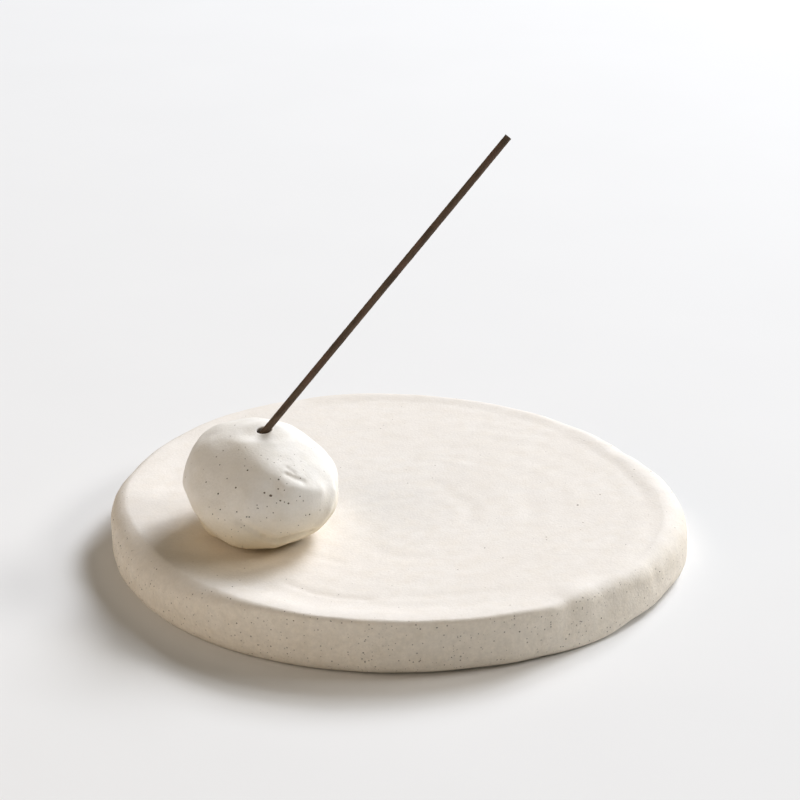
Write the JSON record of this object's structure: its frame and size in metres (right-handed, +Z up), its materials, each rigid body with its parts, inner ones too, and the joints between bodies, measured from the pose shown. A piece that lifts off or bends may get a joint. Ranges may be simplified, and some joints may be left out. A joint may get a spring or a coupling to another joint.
{
  "type": "incense stick holder",
  "caption": "Thick hand-pressed round clay plate with a low rim, a loose clay pebble standing on it, and an incense stick leaning in the pebble's slanting hole.",
  "frame": {"origin": "centre of the plate's underside, on the table", "axes": "+Z up; -Y towards the viewer, so that the pebble stands at the front left; +X to the right, the way the stick leans"},
  "size_m": [0.1656, 0.1664, 0.1244],
  "materials": {
    "plate_clay": "matt unglazed stoneware, cream, with iron specks",
    "pebble_clay": "matt unglazed stoneware, off-white, with iron specks",
    "incense": "dry pressed incense, dark brown"
  },
  "bodies": {
    "plate": {"plate": "plate_clay"},
    "pebble": {"pebble": "pebble_clay"},
    "stick": {"incense_stick": "incense"}
  },
  "joints": [
    {"name": "pebble_lift", "type": "slide", "parent": "plate", "child": "pebble", "axis": [0, 0, 1], "range_m": [0, 0.06]},
    {"name": "stick_draw", "type": "slide", "parent": "pebble", "child": "stick", "axis": [0.6364, 0.2068, 0.7431], "range_m": [0, 0.06]}
  ]
}
